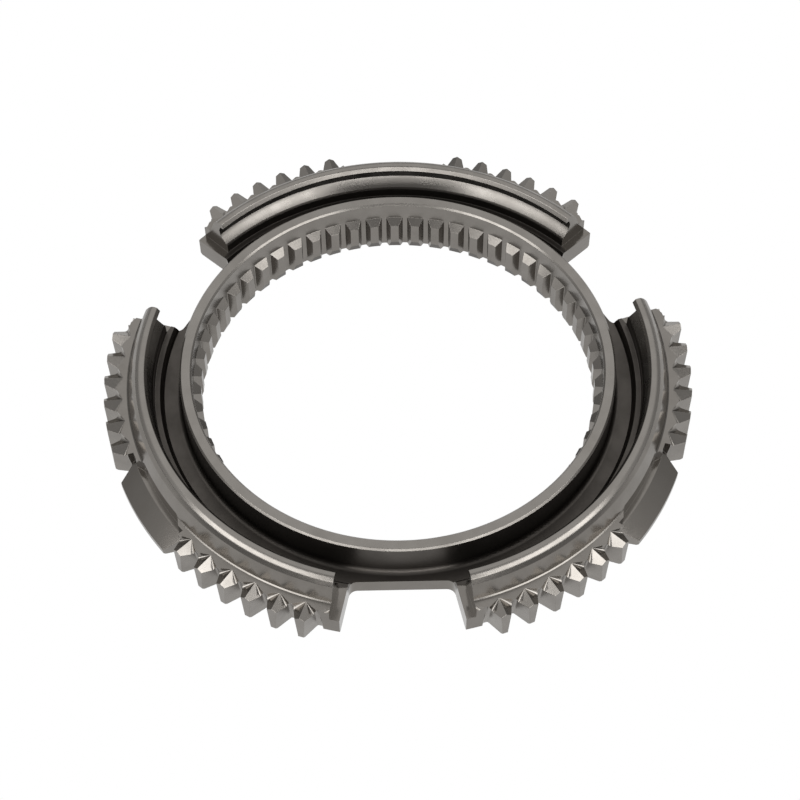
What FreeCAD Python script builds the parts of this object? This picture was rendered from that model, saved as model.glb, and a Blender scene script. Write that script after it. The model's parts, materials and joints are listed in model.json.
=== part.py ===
"""Synchronizer sleeve: a one-piece sliding gear of a truck transmission.

A splined ring slides on the hub. Its outside carries the fork groove, and beyond the groove
a beaded flange with external teeth in three groups. Each group has a plain pad in its middle
and ends at a gap that is open down to the floor of the fork groove.

The part stands on the hub face, axis along +Z, with one gap facing -Y. Millimetres.
"""

import FreeCAD
import Part

import math
import os

import Sketcher

NODE = "sleeve_body"

# Every driving size of the sleeve: its name, its value and what it is.
SIZES = [
    ("ring_height", 21.75, "hub face to the flat top of the ring"),
    ("ring_wall", 4.25, "thickness of the ring between its bore and the fork groove"),
    ("ring_edge", 0.65, "chamfer on both top edges of the ring"),
    ("bore_radius", 71.4, "plain bore, which is also the root circle of the spline"),
    ("spline_count", 54, "teeth of the internal spline"),
    ("spline_tooth_height", 2.6, "radial height of the spline teeth"),
    ("spline_crest_width", 2.64, "width of a spline tooth at its crest"),
    ("spline_root_width", 2.36, "width of a tooth space at the root circle"),
    ("spline_depth", 7.2, "ring top down to the upper ends of the spline teeth"),
    ("spline_lead", 2.05, "height of the bevel on the upper tooth ends"),
    ("spline_foot", 3.4, "height of the lead-in on the lower tooth ends"),
    ("spline_foot_depth", 1.2, "radial depth of that lead-in"),
    ("hub_shoulder", 1.65, "ring wall out to the edge of the hub face"),
    ("hub_rise", 2.6, "hub face up to the underside of the flange"),
    ("hub_bevel", 1.0, "radial run of the bevel round the hub face"),
    ("web_thickness", 5.73, "flange underside up to the floor of the fork groove"),
    ("groove_round", 1.9, "fillet between groove floor and ring wall"),
    ("groove_width", 6.45, "width of the fork groove at its floor"),
    ("foot_width", 1.3, "radial run of the small step at the foot of the flange wall"),
    ("foot_height", 2.4, "height of that step"),
    ("foot_slope", 0.4, "lean of the side of that step"),
    ("flange_setback", 3.25, "groove floor's edge out to the inner wall of the flange"),
    ("flange_bore_height", 4.25, "height of that wall over the step"),
    ("collar_setback", 1.8, "flange wall out to the foot of the collar wall above it"),
    ("collar_lean", 0.65, "how far the collar wall leans inwards at its top"),
    ("collar_step", 0.3, "rise of the narrow shelf between flange wall and collar wall"),
    ("bead_rise", 2.75, "ring top up to the top of the bead"),
    ("slot_drop", 2.0, "top of the bead down to the upper lip of the slot"),
    ("slot_width", 1.0, "opening of the slot under the bead"),
    ("slot_depth", 3.6, "radial depth of the slot"),
    ("slot_fall", 2.85, "fall of the slot from its mouth to its end"),
    ("slot_end", 1.5, "width of the hollow that ends the slot"),
    ("bead_reach", 2.7, "top of the collar wall out to the crest of the bead"),
    ("bead_half_width", 1.15, "crest of the bead to the edge of its inner bevel"),
    ("bead_round", 0.2, "fall of the bead's crest to that edge"),
    ("bead_shoulder", 1.55, "crest of the bead out to its shoulder"),
    ("bead_shoulder_drop", 1.1, "top of the bead down to its outer shoulder"),
    ("cone_top_run", 1.2, "shoulder out to the upper edge of the outer cone"),
    ("cone_top_drop", 2.75, "top of the bead down to that edge"),
    ("cone_bend_run", 1.0, "that edge out to the bend of the cone"),
    ("cone_bend_drop", 5.45, "top of the bead down to that bend"),
    ("cone_foot_run", 0.9, "the bend out to the foot of the cone"),
    ("cone_foot_rise", 0.68, "tooth ledge up to that edge"),
    ("cone_foot_bevel", 0.75, "radial run of the bevel down to the ledge"),
    ("tooth_length", 13.0, "flange underside up to the ledge on which the ridges lie"),
    ("tooth_count", 66, "pitches of the external teeth round the whole circle"),
    ("rim_width", 8.6, "foot of the cone out to the tips of the external teeth"),
    ("tooth_depth", 5.95, "tips down to the roots of the external teeth"),
    ("crest_width", 2.85, "width of a tooth at its tip"),
    ("gullet_width", 1.72, "width of a tooth space at its root"),
    ("tip_bevel", 0.75, "chamfer on the lower edge of the tips"),
    ("group_teeth", 7, "teeth on each side of a pad, the cut one at the gap included"),
    ("pad_pitches", 2, "pitches from the middle of a pad to the first tooth space"),
    ("apex_setback", 1.75, "foot of the cone out to the inner end of a tooth ridge"),
    ("roof_angle", 35, "slope of the two roof facets of a tooth, degrees"),
    ("roof_sweep", 50, "plan angle between a ridge and the inner end of its facets, degrees"),
    ("milled_rise", 2.17, "groove floor up to the recess over a pad and the gap ledge"),
    ("recess_bite", 0.05, "how far the recess over a pad cuts into the cone's foot"),
    ("recess_half_angle", 7.6, "half of the round part of that wall, degrees"),
    ("recess_flare", 28, "lean of the straight ends of that wall, degrees"),
    ("shelf_width", 2.0, "recess wall out to the sloping face of a pad"),
    ("slope_fall", 4.9, "fall of that face down to the rim"),
    ("segment_count", 3, "groups of teeth, and gaps between them"),
    ("gap_half_angle", 12.25, "half of the open part of a gap, degrees"),
    ("gap_ledge_half_angle", 14.2, "half of a gap above the milled floor, degrees"),
    ("web_reach", 3.85, "ring wall out to the straight edge of the web in a gap"),
    ("gap_corner", 3.0, "corner radius at that edge"),
    ("lip_cut", 4.95, "how much shorter the cut teeth beside a gap are"),
]

# Radii and heights that follow from those sizes.
PLACES = {
    "ring_radius": "bore_radius + ring_wall",
    "spline_crest_radius": "bore_radius - spline_tooth_height",
    "hub_radius": "ring_radius + hub_shoulder",
    "groove_foot_radius": "ring_radius + groove_width",
    "flange_bore": "groove_foot_radius + flange_setback",
    "collar_bore": "flange_bore + collar_setback",
    "collar_top_bore": "collar_bore - collar_lean",
    "bead_radius": "collar_top_bore + bead_reach",
    "bead_shoulder_radius": "bead_radius + bead_shoulder",
    "cone_top_radius": "bead_shoulder_radius + cone_top_run",
    "cone_bend_radius": "cone_top_radius + cone_bend_run",
    "cone_foot_radius": "cone_bend_radius + cone_foot_run",
    "tip_radius": "cone_foot_radius + rim_width",
    "root_radius": "tip_radius - tooth_depth",
    "apex_radius": "cone_foot_radius + apex_setback",
    "recess_radius": "cone_foot_radius - recess_bite",
    "slope_radius": "recess_radius + shelf_width",
    "gap_floor_reach": "ring_radius + web_reach",
    "lip_radius": "tip_radius - lip_cut",
    "sleeve_height": "ring_height + bead_rise",
    "ledge_height": "hub_rise + tooth_length",
    "groove_floor": "hub_rise + web_thickness",
    "milled_floor": "groove_floor + milled_rise",
}

# How far cutting outlines run past the metal.
OVERRUN = 2.0

doc = FreeCAD.newDocument("SynchronizerSleeve")


def make_sheet():
    """Write the driving sizes into a spreadsheet and give each cell its alias."""
    sheet = doc.addObject("Spreadsheet::Sheet", "Sizes")
    for row, (alias, value, note) in enumerate(SIZES, start=1):
        sheet.set("A%d" % row, alias)
        sheet.set("B%d" % row, str(value))
        sheet.setAlias("B%d" % row, alias)
        sheet.set("C%d" % row, note)
    doc.recompute()
    return sheet


def bound(text):
    """Turn the names in an expression into references to the sheet."""
    names = sorted([alias for alias, _, _ in SIZES] + list(PLACES), key=len, reverse=True)
    out = ""
    while text:
        found = next((name for name in names if text.startswith(name)), None)
        if found in PLACES:
            out += "(" + bound(PLACES[found]) + ")"
        elif found:
            out += "Sizes." + found
        else:
            out += text[0]
        text = text[len(found or text[0]):]
    return out


def value_of(text):
    """Work out a size expression in plain numbers, angles in degrees."""
    return float(sheet.evalExpression(bound(text)))


sheet = make_sheet()
body = doc.addObject("PartDesign::Body", "Sleeve")
body.Label = NODE
planes = {item.Role: item for item in body.Origin.OriginFeatures}


def new_sketch(name, plane, turn=None, base=None):
    """Attach an empty sketch to an origin plane.

    turn is the expression of its angle about the plane's own axis, base the expressions
    of its origin in that plane's frame.
    """
    sketch = body.newObject("Sketcher::SketchObject", name)
    sketch.AttachmentSupport = [(planes[plane], "")]
    sketch.MapMode = "FlatFace"
    if turn is not None:
        axis = FreeCAD.Vector(0, 1, 0) if plane == "XZ_Plane" else FreeCAD.Vector(0, 0, 1)
        sketch.AttachmentOffset = FreeCAD.Placement(FreeCAD.Vector(), FreeCAD.Rotation(axis, 10.0))
        sketch.setExpression("AttachmentOffset.Rotation.Angle", bound(turn))
    for letter, text in (base or {}).items():
        sketch.setExpression("AttachmentOffset.Base." + letter, bound(text))
    return sketch


def add_outline(sketch, points):
    """Draw a closed outline whose corners are pairs of size expressions.

    A third item is the radius of an arc from that corner to the next, counterclockwise.
    """
    places = [FreeCAD.Vector(value_of(point[0]), value_of(point[1]), 0) for point in points]
    count = len(places)
    for index, point in enumerate(points):
        start, end = places[index], places[(index + 1) % count]
        if len(point) > 2:
            chord = end - start
            rise = math.sqrt(value_of(point[2]) ** 2 - chord.Length ** 2 / 4)
            left = FreeCAD.Vector(-chord.y, chord.x, 0).normalize()
            centre = (start + end) / 2 + left * rise
            circle = Part.Circle(centre, FreeCAD.Vector(0, 0, 1), value_of(point[2]))
            angles = [math.atan2(place.y - centre.y, place.x - centre.x) for place in (start, end)]
            sketch.addGeometry(Part.ArcOfCircle(circle, *angles), False)
        else:
            sketch.addGeometry(Part.LineSegment(start, end), False)
    for index in range(count):
        sketch.addConstraint(
            Sketcher.Constraint("Coincident", index, 2, (index + 1) % count, 1))
    for index, point in enumerate(points):
        for kind, text, number in (("DistanceX", point[0], places[index].x),
                                   ("DistanceY", point[1], places[index].y)):
            constraint = sketch.addConstraint(Sketcher.Constraint(kind, -1, 1, index, 1, number))
            sketch.setExpression("Constraints[%d]" % constraint, bound(text))
        if len(point) > 2:
            constraint = sketch.addConstraint(
                Sketcher.Constraint("Radius", index, value_of(point[2])))
            sketch.setExpression("Constraints[%d]" % constraint, bound(point[2]))


def section_points():
    """List the corners of the turned section as (radius, height) expressions."""
    spline_top = "ring_height - spline_depth"
    step_top = "groove_floor + foot_height"
    wall_top = step_top + " + flange_bore_height"
    collar_foot = wall_top + " + collar_step"
    slot_top = "sleeve_height - slot_drop"
    slot_middle = slot_top + " - slot_fall"
    slot_radius = "collar_top_bore + slot_depth"
    return [
        ("spline_crest_radius + spline_foot_depth", "0"),
        ("hub_radius", "0"),
        ("hub_radius + hub_bevel", "hub_rise"),
        ("tip_radius - tip_bevel", "hub_rise"),
        ("tip_radius", "hub_rise + tip_bevel"),
        ("tip_radius", "ledge_height"),
        ("cone_foot_radius + cone_foot_bevel", "ledge_height"),
        ("cone_foot_radius", "ledge_height + cone_foot_rise"),
        ("cone_bend_radius", "sleeve_height - cone_bend_drop"),
        ("cone_top_radius", "sleeve_height - cone_top_drop"),
        ("bead_shoulder_radius", "sleeve_height - bead_shoulder_drop"),
        ("bead_radius", "sleeve_height"),
        ("bead_radius - bead_half_width", "sleeve_height - bead_round"),
        ("collar_top_bore", slot_top),
        (slot_radius + " - slot_end / 2", slot_middle + " + slot_end / 2"),
        (slot_radius, slot_middle),
        (slot_radius + " - slot_end / 2", slot_middle + " - slot_end / 2"),
        (slot_radius + " - slot_end", slot_middle),
        ("collar_top_bore", slot_top + " - slot_width"),
        ("collar_bore", collar_foot),
        ("flange_bore", wall_top),
        ("flange_bore", step_top),
        ("groove_foot_radius + foot_width", step_top),
        ("groove_foot_radius + foot_slope", "groove_floor + foot_height / 2"),
        ("groove_foot_radius", "groove_floor"),
        ("ring_radius", "groove_floor"),
        ("ring_radius", "ring_height - ring_edge"),
        ("ring_radius - ring_edge", "ring_height"),
        ("bore_radius + ring_edge", "ring_height"),
        ("bore_radius", "ring_height - ring_edge"),
        ("bore_radius", spline_top),
        ("spline_crest_radius", spline_top + " - spline_lead"),
        ("spline_crest_radius", "spline_foot"),
    ]


def make_blank():
    """Turn the whole section once round the axis."""
    sketch = new_sketch("Section", "XZ_Plane")
    add_outline(sketch, section_points())
    blank = body.newObject("PartDesign::Revolution", "Blank")
    blank.Profile = sketch
    blank.ReferenceAxis = (planes["Z_Axis"], [""])
    blank.Angle = 360
    doc.recompute()
    return blank


def round_groove(base):
    """Fillet the inner corner of the fork groove."""
    radius = value_of("ring_radius")
    height = value_of("groove_floor")
    names = []
    for index, edge in enumerate(base.Shape.Edges, start=1):
        point = edge.Vertexes[0].Point
        if abs(math.hypot(point.x, point.y) - radius) < 1e-4 and abs(point.z - height) < 1e-4 \
                and abs(edge.BoundBox.ZLength) < 1e-4:
            names.append("Edge%d" % index)
    fillet = body.newObject("PartDesign::Fillet", "GrooveRound")
    fillet.Base = (base, names)
    fillet.setExpression("Radius", bound("groove_round"))
    doc.recompute()
    return fillet


def pocket(name, sketch, length, **options):
    """Cut a sketch upwards, or along a given direction, over a bound length."""
    before = body.Tip.Shape.Volume
    cut = body.newObject("PartDesign::Pocket", name)
    cut.Profile = sketch
    cut.setExpression("Length", bound(length))
    cut.Reversed = True
    for key, text in options.items():
        if key == "direction":
            cut.UseCustomVector = True
            cut.AlongSketchNormal = False
            cut.Reversed = False
            for letter, part in zip("xyz", text):
                cut.setExpression("Direction." + letter, bound(part))
    doc.recompute()
    if cut.Shape.Volume >= before:
        raise RuntimeError("%s cuts nothing" % name)
    return cut


def repeat_round(name, originals, count):
    """Repeat cuts evenly round the whole circle."""
    pattern = body.newObject("PartDesign::PolarPattern", name)
    pattern.Originals = originals
    pattern.Axis = (planes["Z_Axis"], [""])
    pattern.Angle = 360
    pattern.setExpression("Occurrences", bound(count))
    body.Tip = pattern
    doc.recompute()
    return pattern


def cut_spline():
    """Cut one tooth space of the spline and repeat it."""
    half_pitch = "180 deg / spline_count"
    crest_half = "(spline_crest_radius * sin(%s) - spline_crest_width / 2)" % half_pitch
    slope = "((%s - spline_root_width / 2) / (bore_radius - spline_crest_radius))" % crest_half
    start = "(spline_crest_radius - %s)" % OVERRUN
    mouth = "(%s + %s * %s)" % (crest_half, OVERRUN, slope)
    reach = "(sqrt(bore_radius ^ 2 - spline_root_width ^ 2 / 4))"
    sketch = new_sketch("SplineSpace", "XY_Plane", turn="90 deg + " + half_pitch)
    add_outline(sketch, [
        (start, "-" + mouth),
        (reach, "-spline_root_width / 2"),
        (reach, "spline_root_width / 2"),
        (start, mouth),
    ])
    cut = pocket("SplineCut", sketch, "ring_height - spline_depth")
    return repeat_round("SplineSpaces", [cut], "spline_count")


def groove(name, sketch, half_angle):
    """Turn a sketch away round the axis, evenly to both sides of its plane."""
    before = body.Tip.Shape.Volume
    cut = body.newObject("PartDesign::Groove", name)
    cut.Profile = sketch
    cut.ReferenceAxis = (planes["Z_Axis"], [""])
    cut.Midplane = True
    cut.setExpression("Angle", bound("2 * (%s)" % half_angle))
    doc.recompute()
    if cut.Shape.Volume >= before:
        raise RuntimeError("%s cuts nothing" % name)
    return cut


def cut_pad():
    """Cut the recess over the first pad and the sloping face in front of it."""
    round_x = "recess_radius * cos(recess_half_angle * 1 deg)"
    round_y = "recess_radius * sin(recess_half_angle * 1 deg)"
    end = "(tip_radius + %s)" % OVERRUN
    space = "(root_radius * sin(pad_pitches * 360 deg / tooth_count))"
    flare = "(%s + (%s - %s) * tan(recess_flare * 1 deg))" % (round_x, space, round_y)
    sketch = new_sketch("Recess", "XY_Plane", turn="90 deg", base={"z": "milled_floor"})
    add_outline(sketch, [
        (round_x, "-" + round_y, "recess_radius"),
        (round_x, round_y),
        (flare + " + 2 * tan(recess_flare * 1 deg)", space + " + 2"),
        (end, space + " + 2"),
        (end, "-%s - 2" % space),
        (flare + " + 2 * tan(recess_flare * 1 deg)", "-%s - 2" % space),
    ])
    recess = pocket("RecessCut", sketch, "sleeve_height - milled_floor")
    rim_fall = "slope_fall * (%s - slope_radius) / (tip_radius - slope_radius)" % end
    sketch = new_sketch("Slope", "YZ_Plane")
    add_outline(sketch, [
        ("slope_radius", "milled_floor"),
        (end, "milled_floor - " + rim_fall),
        (end, "milled_floor + 1"),
        ("slope_radius", "milled_floor + 1"),
    ])
    slope = groove("SlopeCut", sketch, "pad_pitches * 360 deg / tooth_count")
    return [recess, slope]


def cut_gap():
    """Cut the first gap: its open part, the ledge beside it and the shorter teeth."""
    end = "(tip_radius + %s)" % OVERRUN
    slope = "tan(gap_half_angle * 1 deg)"
    tangent = "(gap_corner / tan(45 deg + gap_half_angle * 0.5 deg))"
    straight = "(gap_floor_reach * %s - %s)" % (slope, tangent)
    corner_x = "gap_floor_reach + %s * cos(gap_half_angle * 1 deg)" % tangent
    corner_y = "(%s) * %s" % (corner_x, slope)
    sketch = new_sketch("GapOpen", "XY_Plane", turn="-90 deg")
    add_outline(sketch, [
        ("gap_floor_reach", "-" + straight, "gap_corner"),
        (corner_x, "-" + corner_y),
        (end, "-%s * %s" % (end, slope)),
        (end, "%s * %s" % (end, slope)),
        (corner_x, corner_y, "gap_corner"),
        ("gap_floor_reach", straight),
    ])
    cuts = [pocket("GapOpenCut", sketch, "sleeve_height")]
    sketch = new_sketch("GapLedge", "XY_Plane", turn="-90 deg", base={"z": "milled_floor"})
    slope = "tan(gap_ledge_half_angle * 1 deg)"
    add_outline(sketch, [
        ("gap_floor_reach", "-gap_floor_reach * " + slope),
        (end, "-%s * %s" % (end, slope)),
        (end, "%s * %s" % (end, slope)),
        ("gap_floor_reach", "gap_floor_reach * " + slope),
    ])
    cuts.append(pocket("GapLedgeCut", sketch, "sleeve_height - milled_floor"))
    sketch = new_sketch("Lip", "YZ_Plane")
    add_outline(sketch, [
        ("tip_bevel + hub_rise - lip_radius", "0"),
        ("-lip_radius", "tip_bevel + hub_rise"),
        ("-lip_radius", "sleeve_height"),
        ("-" + end, "sleeve_height"),
        ("-" + end, "0"),
    ])
    last_space = "(pad_pitches + group_teeth - 1) * 360 deg / tooth_count"
    cuts.append(groove("LipCut", sketch, "180 deg / segment_count - %s" % last_space))
    return cuts


def cut_gullet():
    """Cut the first space between external teeth, the one beside the pad."""
    half_pitch = "180 deg / tooth_count"
    tip_half = "(tip_radius * sin(%s) - crest_width / 2)" % half_pitch
    slope = "((%s - gullet_width / 2) / (tip_radius - root_radius))" % tip_half
    end = "(tip_radius + %s)" % OVERRUN
    mouth = "(%s + %s * %s)" % (tip_half, OVERRUN, slope)
    sketch = new_sketch("Gullet", "XY_Plane", turn="90 deg + pad_pitches * 360 deg / tooth_count")
    add_outline(sketch, [
        ("root_radius", "-gullet_width / 2"),
        (end, "-" + mouth),
        (end, mouth),
        ("root_radius", "gullet_width / 2"),
    ])
    return pocket("GulletCut", sketch, "sleeve_height")


def cut_roof(name, side):
    """Cut one of the two roof facets of the first tooth; side is +1 or -1."""
    ridge = "(90 deg + (pad_pitches + 0.5) * 360 deg / tooth_count)"
    sign = "+" if side > 0 else "-"
    reach = "(tip_radius * sin(180 deg / tooth_count) / sin(roof_sweep * 1 deg))"
    fall = "(tip_radius * sin(180 deg / tooth_count) * tan(roof_angle * 1 deg))"
    sketch = new_sketch(
        name + "Sketch", "XZ_Plane",
        turn="%s %s roof_sweep * 1 deg" % (ridge, sign),
        base={"x": "apex_radius * cos(%s)" % ridge, "z": "-apex_radius * sin(%s)" % ridge})
    add_outline(sketch, [
        ("0", "ledge_height"),
        (reach, "ledge_height - " + fall),
        (reach, "ledge_height + %s" % OVERRUN),
        ("0", "ledge_height + %s" % OVERRUN),
    ])
    return pocket(name, sketch, "tip_radius + %s - apex_radius" % OVERRUN,
                  direction=("cos(%s)" % ridge, "sin(%s)" % ridge, "0"))


def repeat_teeth(originals):
    """Repeat a tooth's cuts along its group, across the pad and round the three segments."""
    several = body.newObject("PartDesign::MultiTransform", "TeethAllRound")
    several.Originals = originals
    along = doc.addObject("PartDesign::PolarPattern", "AlongGroup")
    across = doc.addObject("PartDesign::Mirrored", "AcrossPad")
    around = doc.addObject("PartDesign::PolarPattern", "RoundSegments")
    for step in (along, across, around):
        body.addObject(step)
    along.Axis = (planes["Z_Axis"], [""])
    along.setExpression("Angle", bound("(group_teeth - 1) * 360 / tooth_count"))
    along.setExpression("Occurrences", bound("group_teeth"))
    across.MirrorPlane = (planes["YZ_Plane"], [""])
    around.Axis = (planes["Z_Axis"], [""])
    around.Angle = 360
    around.setExpression("Occurrences", bound("segment_count"))
    several.Transformations = [along, across, around]
    body.Tip = several
    doc.recompute()
    return several


def finish():
    """Stop if a feature failed, then write the sleeve to its file."""
    for item in doc.Objects:
        if "Invalid" in item.State or "Error" in item.State:
            raise RuntimeError("%s failed: %s" % (item.Name, item.State))
    shape = body.Shape
    if shape.isNull() or not shape.isValid() or len(shape.Solids) != 1:
        raise RuntimeError("the sleeve is not one valid solid")
    os.makedirs("parts", exist_ok=True)
    shape.exportStep("parts/%s.step" % NODE)
    print("volume %.1f mm3, faces %d" % (shape.Volume, len(shape.Faces)))


blank = make_blank()
round_groove(blank)
repeat_round("Segments", cut_pad() + cut_gap(), "segment_count")
repeat_teeth([cut_gullet(), cut_roof("RoofLeft", 1), cut_roof("RoofRight", -1)])
cut_spline()
finish()
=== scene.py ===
"""Synchronizer sleeve on a white table, seen from above and in front.

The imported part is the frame. The sleeve is one piece, so one mesh stands for its one node. It
is made the way the real one is: a section is turned round the axis, and then the gaps, pads,
external teeth and spline are cut out of it. Lengths are in millimetres until a mesh is written.
"""

import json
import logging
import math
from dataclasses import dataclass, field
from enum import Enum

import bpy
from mathutils import Matrix, Vector

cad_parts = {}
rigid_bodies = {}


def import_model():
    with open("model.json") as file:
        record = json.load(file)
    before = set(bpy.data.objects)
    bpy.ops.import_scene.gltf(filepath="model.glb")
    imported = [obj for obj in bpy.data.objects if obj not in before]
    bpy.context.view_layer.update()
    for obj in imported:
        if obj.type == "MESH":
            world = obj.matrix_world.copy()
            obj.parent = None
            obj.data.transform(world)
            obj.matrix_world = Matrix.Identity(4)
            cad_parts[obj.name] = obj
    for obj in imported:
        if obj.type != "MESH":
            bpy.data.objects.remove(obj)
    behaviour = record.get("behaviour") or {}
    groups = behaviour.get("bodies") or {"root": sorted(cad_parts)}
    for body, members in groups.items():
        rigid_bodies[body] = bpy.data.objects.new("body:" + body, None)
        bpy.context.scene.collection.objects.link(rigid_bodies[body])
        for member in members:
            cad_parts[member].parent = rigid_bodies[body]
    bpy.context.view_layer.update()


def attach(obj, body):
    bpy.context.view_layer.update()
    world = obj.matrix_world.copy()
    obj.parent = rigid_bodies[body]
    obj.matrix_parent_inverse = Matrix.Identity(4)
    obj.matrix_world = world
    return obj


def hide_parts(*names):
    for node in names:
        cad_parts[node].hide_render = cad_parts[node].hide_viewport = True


log = logging.getLogger("sleeve")

MM = 0.001
ROUND_STEP = math.radians(13)
FINE_STEP = math.radians(4)
COARSE_STEP = math.radians(20)
SIDE_SHARE = 0.49
UP = (0.0, 0.0, 1.0)
Point = tuple[float, float, float]
Flat = tuple[float, float]


class Zone(Enum):
    """Finishes of the sleeve, each left by another operation, and a groove finish whose darker
    colour is painted shade in the hollows.
    """

    TURNED = "turned_steel"
    PAINTED_SHADE_GROOVE = "painted_shade_groove_steel"
    CONE = "ground_cone_steel"
    BROACHED = "broached_spline_steel"
    HOBBED = "hobbed_tooth_steel"
    ROOF = "pointed_tooth_steel"
    LEDGE = "ledge_steel"
    MILLED = "milled_pad_steel"


def linear(code: str) -> tuple[float, float, float, float]:
    """Turn an sRGB hex colour into Blender's linear colour.

    Args:
        code: six hex digits, with or without a leading #.

    Returns:
        Red, green, blue and an alpha of 1.
    """
    digits = code.lstrip("#")
    levels = [int(digits[place:place + 2], 16) / 255 for place in (0, 2, 4)]
    red, green, blue = (
        level / 12.92 if level <= 0.04045 else ((level + 0.055) / 1.055) ** 2.4
        for level in levels)
    return red, green, blue, 1.0


def add_node(tree: bpy.types.NodeTree, kind: str, settings: dict | None = None,
             inputs: dict | None = None) -> bpy.types.Node:
    """Add a node, set its properties and fill or link its sockets.

    Args:
        tree: the node tree that gets the node.
        kind: Blender's name of the node type.
        settings: properties of the node by name.
        inputs: sockets by name or index, each a value or the output that feeds it.

    Returns:
        The new node.
    """
    node = tree.nodes.new(kind)
    for name, value in (settings or {}).items():
        setattr(node, name, value)
    for key, value in (inputs or {}).items():
        if isinstance(value, bpy.types.NodeSocket):
            tree.links.new(value, node.inputs[key])
        else:
            node.inputs[key].default_value = value
    return node


def rounded(corners: list[Point], step: float = ROUND_STEP) -> list[Flat]:
    """Round the corners of a closed outline.

    A round takes at most SIDE_SHARE of each side that it joins, so that two rounds never meet.

    Args:
        corners: places of the corners, each with the radius of its round.
        step: largest turn from one point of a round to the next, in radians.

    Returns:
        The outline's points, with each round drawn by a few of them.
    """
    outline = []
    for index, (x, y, radius) in enumerate(corners):
        here = Vector((x, y))
        back = Vector(corners[index - 1][:2]) - here
        ahead = Vector(corners[(index + 1) % len(corners)][:2]) - here
        between = back.angle(ahead)
        turn = math.pi - between
        if radius <= 0 or turn < step:
            outline.append((x, y))
            continue
        reach = min(radius / math.tan(between / 2), SIDE_SHARE * back.length,
                    SIDE_SHARE * ahead.length)
        radius = reach * math.tan(between / 2)
        middle = here + (back.normalized() + ahead.normalized()).normalized() * (
            radius / math.sin(between / 2))
        first = here + back.normalized() * reach - middle
        count = max(1, math.ceil(turn / step))
        sense = 1 if back.cross(ahead) < 0 else -1
        for part in range(count + 1):
            arm = Matrix.Rotation(sense * turn * part / count, 2) @ first
            outline.append((middle.x + arm.x, middle.y + arm.y))
    return outline


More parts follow.
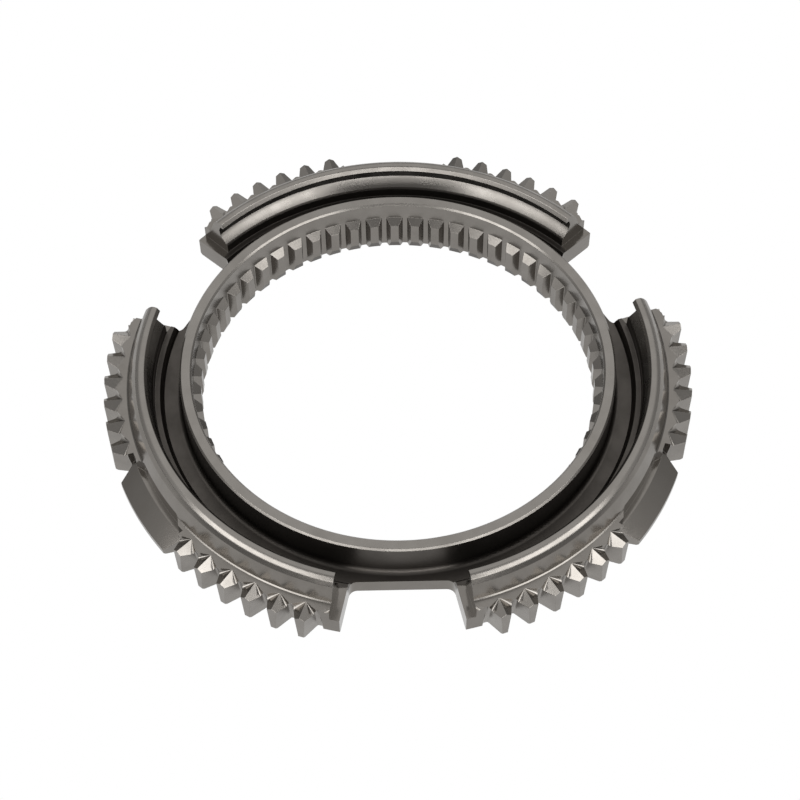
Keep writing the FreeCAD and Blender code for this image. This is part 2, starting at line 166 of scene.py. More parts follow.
@dataclass(frozen=True)
class Steel:
    """Hardened gear steel, bare, with the marks of one machining operation.

    Hardened steel is a neutral, faintly warm grey metal. The tool leaves fine lines along its
    path, so the gloss is broad, and handling leaves faint darker clouds.

    Attributes:
        zone: where the finish goes.
        colour: bare metal.
        shade: metal in the darkest clouds.
        roughness: middle of the gloss, which the clouds vary.
        line_spacing: millimetres between tool lines. Real ones are 0.1 to 0.2 mm apart, and
            these are drawn coarser so that they show.
        line_depth: depth of the tool lines in millimetres.
        line_detail: how many finer lines run between them.
        line_blend: how strong the finer lines are.
        line_strength: how much of the lines' slope the eye sees.
        around: whether the lines run round the axis, as a lathe leaves them.
        cloud: how far the darkest clouds go towards the shade.
        cloud_size: width of a cloud in millimetres, about a fingertip's.
        cloud_detail: how many finer clouds are in a cloud.
        cloud_blend: how strong the finer clouds are.
        cloud_span: noise levels at which a cloud starts and is full.
        gloss_span: noise levels over which the roughness varies.
        gloss_drop: how much smoother the metal is outside the clouds.
        gloss_rise: how much rougher it is inside them.
        edge_round: radius of broken edges in millimetres, or 0 where the mesh rounds them.
        edge_samples: rays that find the broken edges.
        spread_across: how far the tool lines spread the gloss across themselves.
        spread_turn: turn from the direction round the axis to that spread, in whole turns.
    """

    zone: Zone
    colour: str
    shade: str
    roughness: float
    line_spacing: float = 0.35
    line_depth: float = 0.02
    line_detail: float = 2.0
    line_blend: float = 0.5
    line_strength: float = 0.2
    around: bool = True
    cloud: float = 0.25
    cloud_size: float = 9.0
    cloud_detail: float = 4.0
    cloud_blend: float = 0.6
    cloud_span: Flat = (0.35, 0.7)
    gloss_span: Flat = (0.3, 0.7)
    gloss_drop: float = 0.04
    gloss_rise: float = 0.05
    edge_round: float = 0.22
    edge_samples: int = 12
    spread_across: float = 0.0
    spread_turn: float = 0.25

    def build(self) -> bpy.types.Material:
        """Make the node material.

        Returns:
            The material, named after its zone.
        """
        material = bpy.data.materials.new(self.zone.value)
        material.use_nodes = True
        tree = material.node_tree
        tree.nodes.clear()
        place = add_node(tree, "ShaderNodeTexCoord").outputs["Object"]
        split = add_node(tree, "ShaderNodeSeparateXYZ", None, {0: place})
        flat = add_node(tree, "ShaderNodeCombineXYZ", None,
                        {0: split.outputs[0], 1: split.outputs[1]})
        radius = add_node(tree, "ShaderNodeVectorMath", {"operation": "LENGTH"},
                          {0: flat.outputs[0]}).outputs["Value"]
        along = add_node(tree, "ShaderNodeCombineXYZ", None,
                         {0: radius, 1: split.outputs[2]}).outputs[0]
        lines = add_node(
            tree, "ShaderNodeTexNoise", {"noise_dimensions": "3D"},
            {"Vector": along if self.around else place, "Scale": 1 / (self.line_spacing * MM),
             "Detail": self.line_detail, "Roughness": self.line_blend}).outputs["Fac"]
        clouds = add_node(
            tree, "ShaderNodeTexNoise", {"noise_dimensions": "3D"},
            {"Vector": place, "Scale": 1 / (self.cloud_size * MM), "Detail": self.cloud_detail,
             "Roughness": self.cloud_blend}).outputs["Fac"]
        spread = add_node(
            tree, "ShaderNodeMapRange", None,
            {"Value": clouds, "From Min": self.cloud_span[0], "From Max": self.cloud_span[1],
             "To Min": 0.0, "To Max": self.cloud}).outputs[0]
        colour = add_node(
            tree, "ShaderNodeMix", {"data_type": "RGBA"},
            {"Factor": spread, "A": linear(self.colour), "B": linear(self.shade)})
        rough = add_node(
            tree, "ShaderNodeMapRange", None,
            {"Value": clouds, "From Min": self.gloss_span[0], "From Max": self.gloss_span[1],
             "To Min": self.roughness - self.gloss_drop,
             "To Max": self.roughness + self.gloss_rise}).outputs[0]
        bump = add_node(
            tree, "ShaderNodeBump", None,
            {"Strength": self.line_strength, "Distance": self.line_depth * MM,
             "Height": lines})
        if self.edge_round:
            edge = add_node(tree, "ShaderNodeBevel", {"samples": self.edge_samples},
                            {"Radius": self.edge_round * MM}).outputs[0]
            tree.links.new(edge, bump.inputs["Normal"])
        circling = add_node(tree, "ShaderNodeVectorMath", {"operation": "CROSS_PRODUCT"},
                            {0: UP, 1: flat.outputs[0]}).outputs[0]
        course = add_node(tree, "ShaderNodeVectorMath", {"operation": "NORMALIZE"},
                          {0: circling}).outputs[0]
        surface = add_node(
            tree, "ShaderNodeBsdfPrincipled", None,
            {"Base Color": colour.outputs["Result"], "Metallic": 1.0, "Roughness": rough,
             "Anisotropic": self.spread_across, "Anisotropic Rotation": self.spread_turn,
             "Normal": bump.outputs[0]})
        if self.spread_across:
            tree.links.new(course, surface.inputs["Tangent"])
        add_node(tree, "ShaderNodeOutputMaterial", None, {"Surface": surface.outputs[0]})
        return material


STEELS = [
    # Turned on a lathe: fine rings round the axis spread the gloss across them.
    Steel(Zone.TURNED, "#8c8883", "#6f6a64", 0.27, edge_round=0.0, spread_across=0.6),
    # Turned in a deep groove, where nothing rubs it bright: darker and duller.
    # Turned steel in the slit, the fork groove, the ring's outer wall and the spline's lower end:
    # duller, and coloured darker as painted shade of these hollows.
    Steel(Zone.PAINTED_SHADE_GROOVE, "#56524e", "#383531", 0.36, edge_round=0.0, spread_across=0.5),
    # Ground cone and ledge: smoother, so they mirror what stands beside them.
    Steel(Zone.CONE, "#827e79", "#5d5852", 0.20, edge_round=0.0),
    Steel(Zone.LEDGE, "#827e79", "#67625c", 0.20, edge_round=0.0),
    # Broached spline: straight draw marks and lightly broken edges.
    Steel(Zone.BROACHED, "#84807b", "#5f5a55", 0.24, around=False, edge_round=0.15),
    # Hobbed tooth flanks: the dullest of the cut faces, with well worn edges.
    Steel(Zone.HOBBED, "#8a8681", "#5f5a55", 0.28, around=False, edge_round=0.4),
    # Pointed tooth ends: milled last and bright, with nearly sharp edges.
    Steel(Zone.ROOF, "#8c8883", "#6f6a64", 0.20, around=False, line_depth=0.01,
          edge_round=0.12),
    # Milled pads and gaps: flat and even, with a soft mirror of the room.
    Steel(Zone.MILLED, "#7d7974", "#625d57", 0.15, line_depth=0.01, edge_round=0.15),
]


@dataclass
class Sleeve:
    """The one-piece sleeve: its sizes, its cuts and its finishes.

    Sizes are in millimetres and angles in degrees. A pad, a group of teeth on each side of it and
    half a gap beyond each group make one of the equal segments. Names ending in radius are
    distances from the axis, and the heights are above the hub face. The names that say too little:

    Attributes:
        turn_steps: flat strips that the whole circle is turned in.
        spline_top: height of the spline teeth's upper ends, where their bevel starts.
        spline_bevel_foot: height of that bevel's lower edge.
        spline_foot: height of the upper edge of the bevel at their lower ends.
        gullet_radius: bottom of the external tooth spaces, at the height of the ledge.
        gullet_tilt: how far that bottom leans out for each millimetre of height.
        group_teeth: tooth spaces on each side of a pad.
        pad_pitches: pitches from the middle of a pad to the first tooth space.
        apex_radius: inner end of the ridge on an external tooth.
        roof_sweep: angle in plan between the ridge and the foot of its facets' inner wall.
        roof_top_sweep: the same for the top of that wall.
        roof_overlap: how far the two facets of a tooth reach over its ridge.
        hub_rise: height of the flange's underside.
        flange_edge: width and height of the bevel under the rim.
        wall_radius: outer wall of the fork groove.
        milled_floor: height of the floor in a recess and on a gap's ledge.
        recess_end: where a recess opens into the first tooth space, in plan, outwards and across.
        recess_mouth: the same for the outer side of that opening.
        slope_fall: how far a pad's slope falls on its way out to the tips.
        lip_radius: tips of the shorter teeth beside a gap.
        first_pad: direction of the pad of the first segment.
        first_gap: direction of the first gap.
        cut_bottom: height below the sleeve at which through cuts start.
        cut_top: height above the sleeve at which cuts end.
        over: how far cutters reach past what they cut.
        hair: overlap or gap too small to see.
        thinnest: least size of a cutter's face.
        sharp_angle: bend above which an edge is drawn sharp.
    """

    turn_steps: int = 396
    ring_height: float = 21.75
    ring_radius: float = 75.65
    ring_edge: float = 0.65
    bore_radius: float = 71.4
    spline_count: int = 58
    spline_crest_radius: float = 68.8
    spline_crest_width: float = 2.95
    spline_root_width: float = 1.75
    spline_top: float = 14.55
    spline_bevel_foot: float = 12.5
    spline_foot: float = 3.4
    spline_foot_radius: float = 70.0
    spline_root_round: float = 0.35
    tooth_count: int = 66
    tip_radius: float = 102.45
    crest_width: float = 3.5
    gullet_radius: float = 98.0
    gullet_width: float = 1.6
    gullet_tilt: float = 0.14
    group_teeth: int = 7
    pad_pitches: int = 2
    apex_radius: float = 95.6
    roof_angle: float = 35.0
    roof_sweep: float = 42.0
    roof_top_sweep: float = 62.0
    roof_overlap: float = 0.3
    cove_steps: int = 7
    thinnest: float = 0.01
    ledge_height: float = 15.6
    hub_rise: float = 2.6
    flange_edge: float = 3.35
    wall_radius: float = 85.35
    groove_step: float = 10.73
    groove_floor: float = 8.33
    milled_floor: float = 10.5
    recess_radius: float = 93.8
    recess_half_angle: float = 7.6
    recess_end: Flat = (96.2, 18.9)
    recess_mouth: Flat = (98.2, 19.8)
    recess_round: float = 9.0
    recess_end_round: float = 1.5
    recess_steps: int = 12
    slope_radius: float = 95.8
    slope_fall: float = 4.9
    segment_count: int = 3
    gap_half_angle: float = 12.25
    gap_ledge_half_angle: float = 14.2
    gap_floor_reach: float = 79.5
    gap_corner: float = 3.0
    lip_radius: float = 97.5
    first_pad: float = 90.0
    first_gap: float = -90.0
    cut_bottom: float = -1.0
    cut_top: float = 30.0
    over: float = 3.0
    hair: float = 0.02
    sharp_angle: float = 14.0
    flat_weight: int = 100
    materials: dict[Zone, bpy.types.Material] = field(default_factory=dict)

    def pitch(self) -> float:
        """Return the angle between two external teeth in degrees."""
        return 360 / self.tooth_count

    def dress(self) -> None:
        """Make the material of each zone."""
        self.materials = {steel.zone: steel.build() for steel in STEELS}

    def section(self) -> list[tuple[Point, Zone]]:
        """List the corners of the turned section.

        Returns:
            Corners as (radius, height, round), each with the zone of the face that starts there.
        """
        top = self.ring_height
        edge = self.ring_edge
        return [
            # Hub face under the ring, and the flange's underside a little above it.
            ((self.spline_foot_radius, 0.0, 0.1), Zone.TURNED),
            ((77.3, 0.0, 0.25), Zone.TURNED),
            ((78.3, self.hub_rise, 0.3), Zone.TURNED),
            ((101.7, self.hub_rise, 0.15), Zone.TURNED),
            # Rim that the external teeth are cut from, and the ledge on it.
            ((self.tip_radius, self.flange_edge, 0.15), Zone.HOBBED),
            ((self.tip_radius, self.ledge_height, 0.15), Zone.LEDGE),
            # Outer cone, and the bead at its top.
            ((94.45, self.ledge_height, 0.15), Zone.CONE),
            ((94.0, 15.98, 0.15), Zone.CONE),
            ((92.95, 19.05, 1.0), Zone.CONE),
            ((91.95, 21.75, 1.6), Zone.CONE),
            ((90.75, 23.4, 1.5), Zone.TURNED),
            ((89.3, 24.5, 1.8), Zone.TURNED),
            ((87.6, 24.3, 0.5), Zone.TURNED),
            # Faces in the groove zone are coloured darker as painted shade: the slit, the fork
            # groove, the ring's outer wall and the spline's lower bevel.
            # Slit under the bead, and the collar's inner cone below it.
            ((86.45, 22.6, 0.25), Zone.PAINTED_SHADE_GROOVE),
            ((88.5, 22.1, 0.2), Zone.PAINTED_SHADE_GROOVE),
            ((89.2, 19.95, 0.2), Zone.TURNED),
            ((88.75, 17.85, 0.2), Zone.TURNED),
            ((87.95, 16.75, 0.3), Zone.TURNED),
            # Fork groove: its outer wall, a step at the wall's foot and its floor.
            ((86.0, 14.65, 0.2), Zone.PAINTED_SHADE_GROOVE),
            ((85.5, 13.9, 0.2), Zone.PAINTED_SHADE_GROOVE),
            ((self.wall_radius, self.groove_step, 0.3), Zone.PAINTED_SHADE_GROOVE),
            ((83.4, self.groove_step, 0.3), Zone.PAINTED_SHADE_GROOVE),
            ((82.5, 9.53, 0.3), Zone.PAINTED_SHADE_GROOVE),
            ((82.1, self.groove_floor, 0.3), Zone.PAINTED_SHADE_GROOVE),
            # Ring: its outer wall, its top face between two bevels and its bore.
            ((self.ring_radius, self.groove_floor, 1.9), Zone.PAINTED_SHADE_GROOVE),
            ((self.ring_radius, top - edge, 0.2), Zone.TURNED),
            ((self.ring_radius - edge, top, 0.2), Zone.TURNED),
            ((self.bore_radius + edge, top, 0.15), Zone.TURNED),
            ((self.bore_radius, top - edge, 0.15), Zone.BROACHED),
            # Spline teeth: the bevel at their upper ends, their crests and the lower bevel.
            ((self.bore_radius, self.spline_top, 0.1), Zone.BROACHED),
            ((self.spline_crest_radius, self.spline_bevel_foot, 0.1), Zone.BROACHED),
            ((self.spline_crest_radius, self.spline_foot, 0.1), Zone.PAINTED_SHADE_GROOVE),
        ]

    def mesh_object(self, name: str, verts: list[Point], faces: list[list[int]],
                    zones: list[Zone]) -> bpy.types.Object:
        """Write a closed mesh with a zone for each face.

        Args:
            name: name of the object and mesh.
            verts: places in millimetres.
            faces: corner indices of each face, outwards by the right-hand rule.
            zones: zone of each face.

        Returns:
            The linked object.
        """
        mesh = bpy.data.meshes.new(name)
        mesh.from_pydata([[value * MM for value in vert] for vert in verts], [], faces)
        order = list(Zone)
        for zone in order:
            mesh.materials.append(self.materials[zone])
        mesh.polygons.foreach_set("material_index", [order.index(zone) for zone in zones])
        item = bpy.data.objects.new(name, mesh)
        bpy.context.scene.collection.objects.link(item)
        return item

    def turned(self, name: str, outline: list[Flat], zones: list[Zone],
               span: tuple[float, float] | None = None) -> bpy.types.Object:
        """Turn a closed outline of (radius, height), counterclockwise, round the axis.

        Args:
            name: name of the object.
            outline: the outline's points.
            zones: zone of the face that starts at each point.
            span: first and last angle in degrees, or None for the whole circle.

        Returns:
            The turned object.
        """
        count = len(outline)
        first, last = span or (0.0, 360.0)
        steps = max(2, round(self.turn_steps * (last - first) / 360))
        rows = steps if span is None else steps + 1
        verts = []
        for row in range(rows):
            angle = math.radians(first + (last - first) * row / steps)
            verts += [(radius * math.cos(angle), radius * math.sin(angle), height)
                      for radius, height in outline]
        faces = []
        kinds = []
        for row in range(steps):
            here = row * count
            there = (row + 1) % rows * count
            for index in range(count):
                ahead = (index + 1) % count
                faces.append([here + index, there + index, there + ahead, here + ahead])
                kinds.append(zones[index])
        if span is not None:
            faces.append(list(range(count)))
            faces.append(list(range((rows - 1) * count, rows * count))[::-1])
            kinds += [zones[0], zones[0]]
        return self.mesh_object(name, verts, faces, kinds)

    def prism(self, name: str, outline: list[Flat], low: float, high: float, zone: Zone,
              turn: float = 0.0, starts: Flat = (0.0, 0.0)) -> bpy.types.Object:
        """Raise a counterclockwise plan outline between two heights.

        Args:
            name: name of the object.
            outline: plan points, radial direction first.
            low: height of the underside.
            high: height of the top.
            zone: zone of every face.
            turn: angle of the plan's radial direction in degrees.
            starts: how far out the outline is moved at the underside and at the top.

        Returns:
            The closed prism.
        """
        cos, sin = math.cos(math.radians(turn)), math.sin(math.radians(turn))
        count = len(outline)
        verts = [((x + start) * cos - y * sin, (x + start) * sin + y * cos, height)
                 for start, height in zip(starts, (low, high)) for x, y in outline]
        faces = [list(range(count))[::-1], list(range(count, 2 * count))]
        for index in range(count):
            ahead = (index + 1) % count
            faces.append([index, ahead, count + ahead, count + index])
        return self.mesh_object(name, verts, faces, [zone] * len(faces))

    def repeat_tree(self) -> bpy.types.NodeTree:
        """Make the node tree that repeats a cutter round the axis.

        Returns:
            The tree, with inputs for the count, the start and the angle between copies.
        """
        tree = bpy.data.node_groups.new("repeat_round_axis", "GeometryNodeTree")
        face = tree.interface
        face.new_socket("Geometry", in_out="INPUT", socket_type="NodeSocketGeometry")
        face.new_socket("Count", in_out="INPUT", socket_type="NodeSocketInt")
        face.new_socket("Start", in_out="INPUT", socket_type="NodeSocketFloat")
        face.new_socket("Pitch", in_out="INPUT", socket_type="NodeSocketFloat")
        face.new_socket("Finish", in_out="INPUT", socket_type="NodeSocketMaterial")
        face.new_socket("Geometry", in_out="OUTPUT", socket_type="NodeSocketGeometry")
        given = add_node(tree, "NodeGroupInput").outputs
        points = add_node(tree, "GeometryNodeMeshLine", None,
                          {"Count": given["Count"], "Offset": (0, 0, 0)})
        number = add_node(tree, "GeometryNodeInputIndex").outputs[0]
        angle = add_node(tree, "ShaderNodeMath", {"operation": "MULTIPLY_ADD"},
                         {0: number, 1: given["Pitch"], 2: given["Start"]}).outputs[0]
        turn = add_node(tree, "ShaderNodeCombineXYZ", None, {2: angle}).outputs[0]
        copies = add_node(tree, "GeometryNodeInstanceOnPoints", None,
                          {"Points": points.outputs[0], "Instance": given["Geometry"],
                           "Rotation": turn})
        real = add_node(tree, "GeometryNodeRealizeInstances", None, {0: copies.outputs[0]})
        dressed = add_node(tree, "GeometryNodeSetMaterial", None,
                           {"Geometry": real.outputs[0], "Material": given["Finish"]})
        add_node(tree, "NodeGroupOutput", None, {0: dressed.outputs[0]})
        return tree

    def repeated(self, cutter: bpy.types.Object, count: int, start: float, pitch: float,
                 zone: Zone) -> bpy.types.Object:
        """Repeat a cutter round the axis and make the result a plain mesh.

        Args:
            cutter: one closed cutter.
            count: number of copies.
            start: angle of the first copy in degrees.
            pitch: angle between copies in degrees.
            zone: zone that the cut faces get.

        Returns:
            The same object with all copies in its mesh.
        """
        tree = bpy.data.node_groups.get("repeat_round_axis") or self.repeat_tree()
        modifier = cutter.modifiers.new("repeat", "NODES")
        modifier.node_group = tree
        sockets = {item.name: item.identifier for item in tree.interface.items_tree
                   if item.in_out == "INPUT"}
        modifier[sockets["Count"]] = count
        modifier[sockets["Start"]] = math.radians(start)
        modifier[sockets["Pitch"]] = math.radians(pitch)
        modifier[sockets["Finish"]] = self.materials[zone]
        self.settle(cutter)
        return cutter

    def settle(self, item: bpy.types.Object) -> None:
        """Turn the evaluated object into its plain mesh.

        Args:
            item: the object, whose modifiers go once they are in its mesh.
        """
        bpy.context.view_layer.update()
        graph = bpy.context.evaluated_depsgraph_get()
        mesh = bpy.data.meshes.new_from_object(
            item.evaluated_get(graph), preserve_all_data_layers=True, depsgraph=graph)
        item.modifiers.clear()
        item.data = mesh

    def cut(self, item: bpy.types.Object, other: bpy.types.Object) -> None:
        """Cut one object by another and delete the other.

        Args:
            item: the object that is cut.
            other: the closed cutter.
        """
        modifier = item.modifiers.new("cut", "BOOLEAN")
        modifier.object = other
        modifier.operation = "DIFFERENCE"
        modifier.solver = "MANIFOLD"
        modifier.material_mode = "TRANSFER"
        self.settle(item)
        bpy.data.objects.remove(other)

    def blank(self) -> bpy.types.Object:
        """Turn the section, with each corner rounded in the zone that starts at it.

        Returns:
            The uncut sleeve.
        """
        corners = self.section()
        outline = []
        zones = []
        for index, (corner, zone) in enumerate(corners):
            before = corners[index - 1][0]
            after = corners[(index + 1) % len(corners)][0]
            part = rounded([(*before[:2], 0), corner, (*after[:2], 0)])[1:-1]
            outline += part
            zones += [zone] * len(part)
        return self.turned("sleeve", outline, zones)

    def pad_cutters(self) -> list[bpy.types.Object]:
        """Make the recess behind a pad and the slope that falls from it to the pad's rim.

        Returns:
            The two cutters, each repeated for the three pads.
        """
        end = self.tip_radius + self.over
        half = math.radians(self.recess_half_angle)
        bend = Vector((math.cos(half), math.sin(half))) * self.recess_radius
        steps = self.recess_steps
        arc = [(self.recess_radius * math.cos(angle), self.recess_radius * math.sin(angle), 0)
               for angle in (half * (1 - 2 * step / steps) for step in range(1, steps))]
        tail, reach = self.recess_end
        mouth, brink = self.recess_mouth
        bow = self.recess_end_round
        corners = [(tail, -reach, bow), (mouth, -brink, 0), (end, -brink, 0), (end, brink, 0),
                   (mouth, brink, 0), (tail, reach, bow), (bend.x, bend.y, self.recess_round)]
        corners += arc + [(bend.x, -bend.y, self.recess_round)]
        recess = self.prism("recess", rounded(corners, FINE_STEP), self.milled_floor,
                            self.cut_top, Zone.MILLED, self.first_pad)
        fall = self.slope_fall / (self.tip_radius - self.slope_radius)
        rim = self.milled_floor - fall * (end - self.slope_radius)
        side = self.pad_pitches * self.pitch()
        slope = self.turned(
            "slope",
            [(self.slope_radius, self.milled_floor), (end, rim), (end, self.cut_top),
             (self.slope_radius, self.cut_top)],
            [Zone.MILLED] * 4, (self.first_pad - side, self.first_pad + side))
        share = 360 / self.segment_count
        return [self.repeated(item, self.segment_count, 0, share, Zone.MILLED)
                for item in (recess, slope)]

    def gap_cutters(self) -> list[bpy.types.Object]:
        """Make the open part of a gap, the ledges beside it and the cut of the shorter teeth.

        Returns:
            The cutters, each repeated for the three gaps.
        """
        end = self.tip_radius + self.over
        lean = math.tan(math.radians(self.gap_half_angle))
        reach = self.gap_floor_reach
        outline = rounded([(reach, -reach * lean, self.gap_corner), (end, -end * lean, 0),
                           (end, end * lean, 0), (reach, reach * lean, self.gap_corner)])
        opening = self.prism("gap", outline, self.cut_bottom, self.cut_top, Zone.MILLED,
                             self.first_gap)
        start = self.wall_radius * math.cos(math.radians(self.gap_ledge_half_angle))
        wide = math.tan(math.radians(self.gap_ledge_half_angle))
        ledge = self.prism(
            "gap_ledge",
            [(start, -start * wide), (end, -end * wide), (end, end * wide), (start, start * wide)],
            self.milled_floor, self.cut_top, Zone.MILLED, self.first_gap)
        last = (self.pad_pitches + self.group_teeth - 1) * self.pitch()
        half = 180 / self.segment_count - last
        lip = self.turned(
            "lip",
            [(self.lip_radius - self.flange_edge, 0.0), (end, 0.0), (end, self.cut_top),
             (self.lip_radius, self.cut_top), (self.lip_radius, self.flange_edge)],
            [Zone.MILLED] * 5, (self.first_gap - half, self.first_gap + half))
        share = 360 / self.segment_count
        return [self.repeated(item, self.segment_count, 0, share, Zone.MILLED)
                for item in (opening, ledge, lip)]

    def across_group(self, cutter: bpy.types.Object, zone: Zone) -> bpy.types.Object:
        """Repeat a cutter of the first tooth space along one side of all three groups."""
        self.repeated(cutter, self.group_teeth, 0, self.pitch(), zone)
        return self.repeated(cutter, self.segment_count, 0, 360 / self.segment_count, zone)

    def gullets(self, side: int) -> bpy.types.Object:
        """Make the tooth spaces on one side of the three pads, leaning out towards their tops.

        Args:
            side: +1 for the spaces after the pad, -1 for those before it.

        Returns:
            The repeated cutter.
        """
        half = math.radians(self.pitch() / 2)
        tip_half = self.tip_radius * math.sin(half) - self.crest_width / 2
        root = self.gullet_width / 2
        flare = (tip_half - root) / (self.tip_radius - self.gullet_radius)
        run = self.tip_radius + 2 * self.over - self.gullet_radius
        mouth = root + run * flare
        outline = rounded([(0, -root, root), (run, -mouth, 0), (run, mouth, 0),
                           (0, root, root)], COARSE_STEP)
        first = self.first_pad + self.pad_pitches * self.pitch()
        if side < 0:
            first = self.first_pad - (self.pad_pitches + self.group_teeth - 1) * self.pitch()
        low, high = self.cut_bottom, self.cut_top
        starts = [self.gullet_radius + (height - self.ledge_height) * self.gullet_tilt
                  for height in (low, high)]
        cutter = self.prism("gullet", outline, low, high, Zone.HOBBED, first, starts)
        return self.across_group(cutter, Zone.HOBBED)

    def roofs(self, side: int, lean: int) -> bpy.types.Object:
        """Make one facet of every tooth on one side of the three pads.

        The facet falls away from the ridge, and a cove joins its inner end to the ledge.

        Args:
            side: +1 for the teeth after the pad, -1 for those before it.
            lean: +1 for the facet after the ridge, -1 for the one before it.

        Returns:
            The repeated cutter.
        """
        width = self.tip_radius * math.sin(math.radians(self.pitch() / 2)) - self.hair
        slope = math.tan(math.radians(self.roof_angle))
        end = self.tip_radius + self.over
        lift = self.ledge_height + self.over
        rows = []
        for across in (-self.roof_overlap, width):
            foot = self.apex_radius + max(across, 0) / math.tan(math.radians(self.roof_sweep))
            brow = self.apex_radius + max(across, 0) / math.tan(math.radians(self.roof_top_sweep))
            height = self.ledge_height - across * slope
            rise = max(self.ledge_height - height, self.thinnest)
            run = max(foot - brow, self.thinnest)
            row = [(end, lean * across, lift), (end, lean * across, height)]
            for step in range(self.cove_steps + 1):
                turn = math.radians(90 * step / self.cove_steps)
                row.append((foot - run * math.sin(turn), lean * across,
                            height + rise * (1 - math.cos(turn))))
            row.append((row[-1][0], lean * across, lift))
            rows.append(row)
        first = self.pad_pitches + 0.5
        if side < 0:
            first = -(self.pad_pitches + self.group_teeth - 0.5)
        turn = Matrix.Rotation(math.radians(self.first_pad + first * self.pitch()), 3, "Z")
        verts = [tuple(turn @ Vector(place)) for row in rows for place in row]
        count = len(rows[0])
        faces = [list(range(count)), list(range(count, 2 * count))[::-1]]
        for index in range(count):
            ahead = (index + 1) % count
            faces.append([ahead, index, count + index, count + ahead])
        if lean > 0:
            faces = [face[::-1] for face in faces]
        cutter = self.mesh_object("roof", verts, faces, [Zone.ROOF] * len(faces))
        return self.across_group(cutter, Zone.ROOF)

    def spline_spaces(self) -> bpy.types.Object:
        """Make the tooth spaces of the internal spline.

        Returns:
            The cutter, repeated round the bore.
        """
        half = math.radians(180 / self.spline_count)
        crest_half = self.spline_crest_radius * math.sin(half) - self.spline_crest_width / 2
        depth = self.bore_radius - self.spline_crest_radius
        lean = (crest_half - self.spline_root_width / 2) / depth
        start = self.spline_crest_radius - self.over
        mouth = crest_half + self.over * lean
        root, bow = self.spline_root_width / 2, self.spline_root_round
        outline = rounded([(start, -mouth, 0), (self.bore_radius, -root, bow),
                           (self.bore_radius, root, bow), (start, mouth, 0)], COARSE_STEP)
        cutter = self.prism("spline_space", outline, self.cut_bottom,
                            self.spline_top + self.hair, Zone.BROACHED,
                            self.first_pad + 180 / self.spline_count)
        return self.repeated(cutter, self.spline_count, 0, 360 / self.spline_count,
                             Zone.BROACHED)

    def build(self) -> bpy.types.Object:
        """Turn the blank, make every cut and finish the mesh.

        Returns:
            The finished sleeve, standing for the frame's one node.
        """
        self.dress()
        sleeve = self.blank()
        for cutter in self.gap_cutters() + self.pad_cutters():
            self.cut(sleeve, cutter)
        for side in (1, -1):
            for cutter in (self.gullets(side), self.roofs(side, 1), self.roofs(side, -1)):
                self.cut(sleeve, cutter)
        self.cut(sleeve, self.spline_spaces())
        self.shade(sleeve)
        return sleeve

    def shade(self, sleeve: bpy.types.Object) -> None:
        """Shade the turned faces smoothly and keep every cut edge crisp.

        Args:
            sleeve: the cut sleeve.
        """
        sleeve.data.shade_smooth()
        sleeve.data.set_sharp_from_angle(angle=math.radians(self.sharp_angle))
        flats = sleeve.modifiers.new("flats", "WEIGHTED_NORMAL")
        flats.mode = "FACE_AREA"
        flats.weight = self.flat_weight
        flats.keep_sharp = True
        self.settle(sleeve)


@dataclass(frozen=True)
class Lamp:
    """A soft box that hangs a metre away and looks at the sleeve.

    Attributes:
        name: name of the lamp.
        azimuth: its direction round the axis, counterclockwise from +X, in degrees.
        rise: its height above the horizon in degrees.
        width: its width in metres.
        height: its height in metres.
        level: how bright its face is, where white paper in full light is 1.
    """

    name: str
    azimuth: float
    rise: float
    width: float
    height: float
    level: float

    def build(self) -> None:
        """Hang the box in the scene."""
        light = bpy.data.lights.new(self.name, "AREA")
        light.shape = "RECTANGLE"
        light.size = self.width
        light.size_y = self.height
        light.energy = self.level * math.pi * self.width * self.height
        item = bpy.data.objects.new(self.name, light)
        around, up = math.radians(self.azimuth), math.radians(self.rise)
        place = Vector((math.cos(around) * math.cos(up), math.sin(around) * math.cos(up),
                        math.sin(up)))
        item.location = place
        item.rotation_euler = (-place).to_track_quat("-Z", "Y").to_euler()
        bpy.context.scene.collection.objects.link(item)


LAMPS = [
    Lamp("left_box", 216, 38, 0.72, 0.42, 3.5),
    Lamp("right_box", 324, 38, 0.72, 0.42, 3.5),
    Lamp("front_box", 270, 24, 1.1, 0.26, 3.4),
]


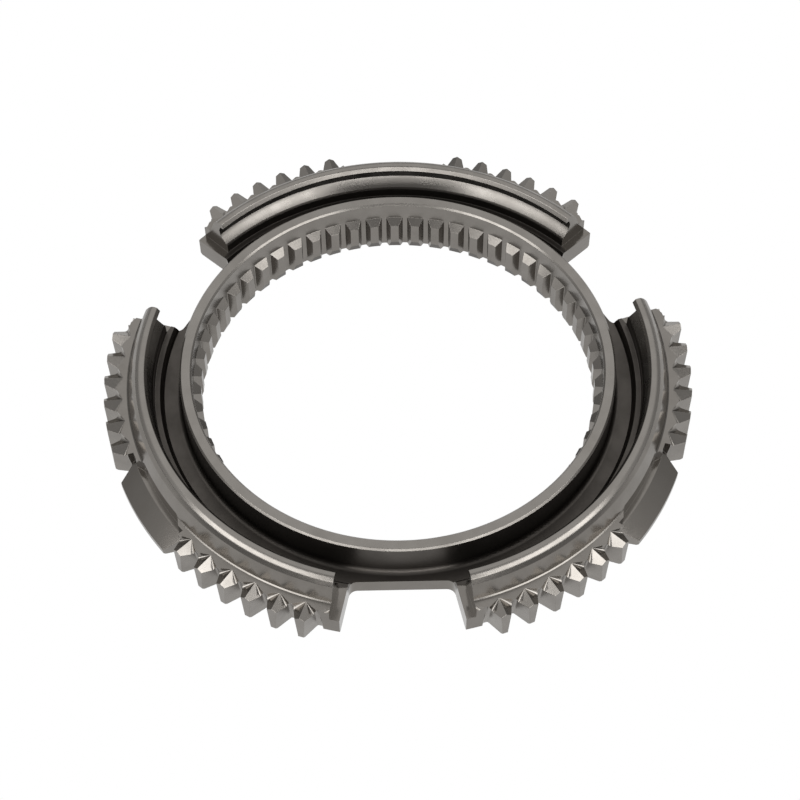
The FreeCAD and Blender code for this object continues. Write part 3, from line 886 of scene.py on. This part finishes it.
@dataclass(frozen=True)
class Studio:
    """White table, soft lights and the photograph's camera.

    Attributes:
        focal: focal length in millimetres, solved from the photograph.
        sensor: width of the sensor in millimetres.
        elevation: how far the camera looks down, in degrees.
        roll: how far it is turned about its own axis, in degrees.
        turn: how far it stands round the axis from the middle of the front gap, in degrees.
        camera_place: its place in units, from the middle of the ring's top face.
        unit: length of a unit in millimetres, which is the radius of the ring's top face.
        ring_height: height of that face in millimetres.
        far_clip: furthest distance that the camera sees, in metres.
        table_half: half the side of the table in metres.
        table_colour: colour of the table, which the sleeve's shadow falls on.
        table_level: how bright the table is in the metal.
        white: colour of the room and of the table as the camera sees it.
        shade_rise: height of the dimmer part of the room, in degrees above the horizon.
        shade_level: how bright the metal sees that part.
        shade_span: how near its middle the dimmer part starts and is full, as cosines.
        horizon_level: how bright the metal sees the horizon.
        horizon_span: heights at which the room starts to brighten and is full.
        fill_level: how bright the room is as a light.
    """

    focal: float = 94.26
    sensor: float = 36.0
    elevation: float = 55.109
    roll: float = -0.6345
    turn: float = 0.5
    camera_place: Point = (0.0091, -5.6808, 7.8433)
    unit: float = 75.0
    ring_height: float = 21.75
    far_clip: float = 20.0
    table_half: float = 3.0
    table_colour: str = "#f2f2f2"
    table_level: float = 0.9
    white: str = "#ffffff"
    shade_rise: float = 60.0
    shade_level: float = 0.4
    shade_span: Flat = (0.60, 0.95)
    horizon_level: float = 0.3
    horizon_span: Flat = (0.1, 0.8)
    fill_level: float = 0.5

    def camera(self) -> None:
        """Place the camera as the photograph's perspective gives it."""
        lens = bpy.data.cameras.new("camera")
        lens.lens = self.focal
        lens.sensor_width = self.sensor
        lens.clip_end = self.far_clip
        item = bpy.data.objects.new("camera", lens)
        bpy.context.scene.collection.objects.link(item)
        rise = math.radians(self.elevation)
        ahead = Vector((0, math.cos(rise), -math.sin(rise)))
        right = Vector((1, 0, 0))
        up = right.cross(ahead)
        roll = math.radians(self.roll)
        right, up = (math.cos(roll) * right + math.sin(roll) * up,
                     math.cos(roll) * up - math.sin(roll) * right)
        frame = Matrix((right, up, -ahead)).transposed().to_4x4()
        place = Vector(self.camera_place) * self.unit
        place.z += self.ring_height
        frame.translation = place * MM
        item.matrix_world = Matrix.Rotation(math.radians(-self.turn), 4, "Z") @ frame
        bpy.context.scene.camera = item

    def floor(self) -> None:
        """Lay a wide white table under the sleeve."""
        half = self.table_half
        mesh = bpy.data.meshes.new("table_top")
        mesh.from_pydata([(-half, -half, 0), (half, -half, 0), (half, half, 0), (-half, half, 0)],
                         [], [(0, 1, 2, 3)])
        item = bpy.data.objects.new("table_top", mesh)
        bpy.context.scene.collection.objects.link(item)
        material = bpy.data.materials.new("white_table")
        material.use_nodes = True
        tree = material.node_tree
        tree.nodes.clear()
        path = add_node(tree, "ShaderNodeLightPath").outputs
        seen = add_node(tree, "ShaderNodeMath", {"operation": "MAXIMUM"},
                        {0: path["Is Camera Ray"], 1: path["Is Glossy Ray"]}).outputs[0]
        level = add_node(tree, "ShaderNodeMix", {"data_type": "FLOAT"},
                         {"Factor": path["Is Camera Ray"], "A": self.table_level,
                          "B": 1.0}).outputs[0]
        matte = add_node(tree, "ShaderNodeBsdfDiffuse", None,
                         {"Color": linear(self.table_colour)})
        glow = add_node(tree, "ShaderNodeEmission", None,
                        {"Color": linear(self.white), "Strength": level})
        mixed = add_node(tree, "ShaderNodeMixShader", None,
                         {0: seen, 1: matte.outputs[0], 2: glow.outputs[0]})
        add_node(tree, "ShaderNodeOutputMaterial", None, {"Surface": mixed.outputs[0]})
        mesh.materials.append(material)

    def world(self) -> None:
        """Light the set softly and show white behind it.

        The camera sees plain white. The metal sees a room that brightens upwards from the
        horizon, and that is dimmer behind the camera, as a studio is behind its soft boxes.
        """
        world = bpy.data.worlds.new("white_room")
        world.use_nodes = True
        tree = world.node_tree
        tree.nodes.clear()
        path = add_node(tree, "ShaderNodeLightPath").outputs
        look = add_node(tree, "ShaderNodeTexCoord").outputs["Generated"]
        rise = math.radians(self.shade_rise)
        shady = add_node(tree, "ShaderNodeVectorMath", {"operation": "DOT_PRODUCT"},
                         {0: look, 1: (0.0, -math.cos(rise), math.sin(rise))}).outputs["Value"]
        gloss = add_node(tree, "ShaderNodeMapRange", {"interpolation_type": "SMOOTHSTEP"},
                         {"Value": shady, "From Min": self.shade_span[0],
                          "From Max": self.shade_span[1], "To Min": 1.0,
                          "To Max": self.shade_level}).outputs[0]
        height = add_node(tree, "ShaderNodeSeparateXYZ", None, {0: look}).outputs[2]
        rising = add_node(tree, "ShaderNodeMapRange", {"interpolation_type": "SMOOTHSTEP"},
                          {"Value": height, "From Min": self.horizon_span[0],
                           "From Max": self.horizon_span[1], "To Min": self.horizon_level,
                           "To Max": 1.0}).outputs[0]
        gloss = add_node(tree, "ShaderNodeMath", {"operation": "MULTIPLY"},
                         {0: gloss, 1: rising}).outputs[0]
        soft = add_node(tree, "ShaderNodeMix", {"data_type": "FLOAT"},
                        {"Factor": path["Is Glossy Ray"], "A": self.fill_level,
                         "B": gloss}).outputs[0]
        strength = add_node(tree, "ShaderNodeMix", {"data_type": "FLOAT"},
                            {"Factor": path["Is Camera Ray"], "A": soft, "B": 1.0}).outputs[0]
        back = add_node(tree, "ShaderNodeBackground", None,
                        {"Color": linear(self.white), "Strength": strength})
        add_node(tree, "ShaderNodeOutputWorld", None, {"Surface": back.outputs[0]})
        bpy.context.scene.world = world

    def build(self) -> None:
        """Set up the camera, the table and the lights."""
        self.camera()
        self.floor()
        self.world()
        for lamp in LAMPS:
            lamp.build()
        bpy.context.scene.view_settings.view_transform = "Standard"


def main() -> None:
    """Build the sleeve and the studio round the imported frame."""
    logging.basicConfig(level=logging.INFO, format="%(name)s %(message)s")
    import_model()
    sleeve = Sleeve().build()
    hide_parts("sleeve_body")
    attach(sleeve, "root")
    log.info("sleeve_body: %d faces", len(sleeve.data.polygons))
    Studio().build()


if __name__ == "__main__":
    main()
